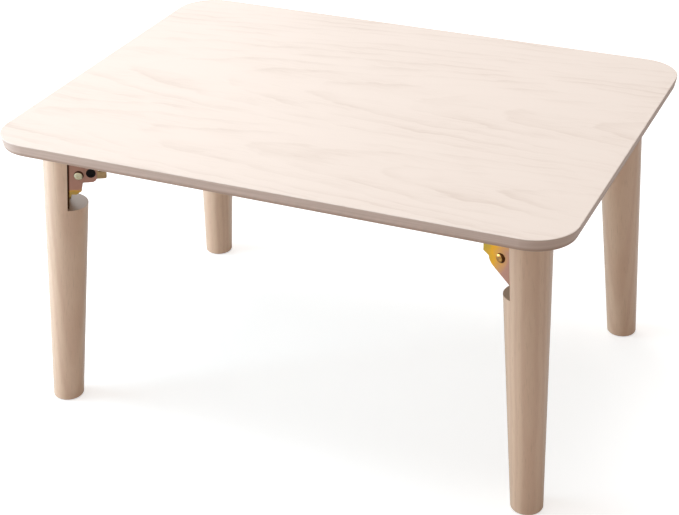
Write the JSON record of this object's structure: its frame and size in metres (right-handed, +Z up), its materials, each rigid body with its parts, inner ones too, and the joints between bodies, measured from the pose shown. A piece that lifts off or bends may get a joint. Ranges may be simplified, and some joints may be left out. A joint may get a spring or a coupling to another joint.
{
  "type": "chabudai folding low table",
  "caption": "Low rectangular folding table with a thin rounded wooden top and splayed, tapered round legs that fold inward under it on sprung steel brackets",
  "frame": {"origin": "on the floor under the middle of the top, the legs standing open", "axes": "+X along the long side of the top, +Y across it towards the back, +Z up"},
  "size_m": [0.5996, 0.4496, 0.32],
  "materials": {
    "top_wood": "white-washed grain under a thin clear lacquer, satin",
    "edge_wood": "pale warm edge, satin",
    "under_wood": "plain pale sheet, matte",
    "leg_wood": "pale hardwood under satin clear lacquer",
    "bracket_steel": "zinc plated sheet with a yellow and pink passivated sheen",
    "lever_steel": "zinc plated sheet with an olive brown sheen",
    "rivet_steel": "zinc plated, slightly worn",
    "screw_steel": "zinc plated with a yellow sheen",
    "spring_steel": "bright drawn wire",
    "bush_plastic": "moulded black, matte"
  },
  "bodies": {
    "table_top": {"top_veneer": "top_wood", "panel_core": "edge_wood", "underside_veneer": "under_wood", "table_bracket_front_left": "bracket_steel", "top_screws_front_left": "screw_steel", "pivot_rivets_front_left": "rivet_steel", "lever_bush_front_left": "bush_plastic", "lever_spring_front_left": "spring_steel", "table_bracket_front_right": "bracket_steel", "top_screws_front_right": "screw_steel", "pivot_rivets_front_right": "rivet_steel", "lever_bush_front_right": "bush_plastic", "lever_spring_front_right": "spring_steel", "table_bracket_back_right": "bracket_steel", "top_screws_back_right": "screw_steel", "pivot_rivets_back_right": "rivet_steel", "lever_bush_back_right": "bush_plastic", "lever_spring_back_right": "spring_steel", "table_bracket_back_left": "bracket_steel", "top_screws_back_left": "screw_steel", "pivot_rivets_back_left": "rivet_steel", "lever_bush_back_left": "bush_plastic", "lever_spring_back_left": "spring_steel"},
    "leg_assembly_front_left": {"leg_front_left": "leg_wood", "leg_bracket_front_left": "bracket_steel", "leg_screws_front_left": "screw_steel"},
    "lever_assembly_front_left": {"lock_lever_front_left": "lever_steel"},
    "leg_assembly_front_right": {"leg_front_right": "leg_wood", "leg_bracket_front_right": "bracket_steel", "leg_screws_front_right": "screw_steel"},
    "lever_assembly_front_right": {"lock_lever_front_right": "lever_steel"},
    "leg_assembly_back_right": {"leg_back_right": "leg_wood", "leg_bracket_back_right": "bracket_steel", "leg_screws_back_right": "screw_steel"},
    "lever_assembly_back_right": {"lock_lever_back_right": "lever_steel"},
    "leg_assembly_back_left": {"leg_back_left": "leg_wood", "leg_bracket_back_left": "bracket_steel", "leg_screws_back_left": "screw_steel"},
    "lever_assembly_back_left": {"lock_lever_back_left": "lever_steel"}
  },
  "joints": [
    {"name": "leg_hinge_front_left", "type": "hinge", "parent": "table_top", "child": "leg_assembly_front_left", "pos_m": [-0.23608, -0.15585, 0.2707], "axis": [0.5, -0.866, 0], "range_deg": [0, 94.78]},
    {"name": "lever_hinge_front_left", "type": "hinge", "parent": "table_top", "child": "lever_assembly_front_left", "pos_m": [-0.22543, -0.1497, 0.2714], "axis": [-0.5, 0.866, 0], "range_deg": [0, 8], "stiffness_Nm_per_rad": 0.5, "springref_deg": -10.03, "deforming": ["lever_spring_front_left"]},
    {"name": "leg_hinge_front_right", "type": "hinge", "parent": "table_top", "child": "leg_assembly_front_right", "pos_m": [0.23295, -0.15732, 0.2707], "axis": [0.2924, 0.9563, 0], "range_deg": [0, 94.37]},
    {"name": "lever_hinge_front_right", "type": "hinge", "parent": "table_top", "child": "lever_assembly_front_right", "pos_m": [0.22119, -0.15372, 0.2714], "axis": [-0.2924, -0.9563, 0], "range_deg": [0, 8], "stiffness_Nm_per_rad": 0.5, "springref_deg": -10.03, "deforming": ["lever_spring_front_right"]},
    {"name": "leg_hinge_back_right", "type": "hinge", "parent": "table_top", "child": "leg_assembly_back_right", "pos_m": [0.23608, 0.15585, 0.2707], "axis": [-0.5, 0.866, 0], "range_deg": [0, 94.78]},
    {"name": "lever_hinge_back_right", "type": "hinge", "parent": "table_top", "child": "lever_assembly_back_right", "pos_m": [0.22543, 0.1497, 0.2714], "axis": [0.5, -0.866, 0], "range_deg": [0, 8], "stiffness_Nm_per_rad": 0.5, "springref_deg": -10.03, "deforming": ["lever_spring_back_right"]},
    {"name": "leg_hinge_back_left", "type": "hinge", "parent": "table_top", "child": "leg_assembly_back_left", "pos_m": [-0.23295, 0.15732, 0.2707], "axis": [-0.2924, -0.9563, 0], "range_deg": [0, 94.37]},
    {"name": "lever_hinge_back_left", "type": "hinge", "parent": "table_top", "child": "lever_assembly_back_left", "pos_m": [-0.22119, 0.15372, 0.2714], "axis": [0.2924, 0.9563, 0], "range_deg": [0, 8], "stiffness_Nm_per_rad": 0.5, "springref_deg": -10.03, "deforming": ["lever_spring_back_left"]}
  ]
}
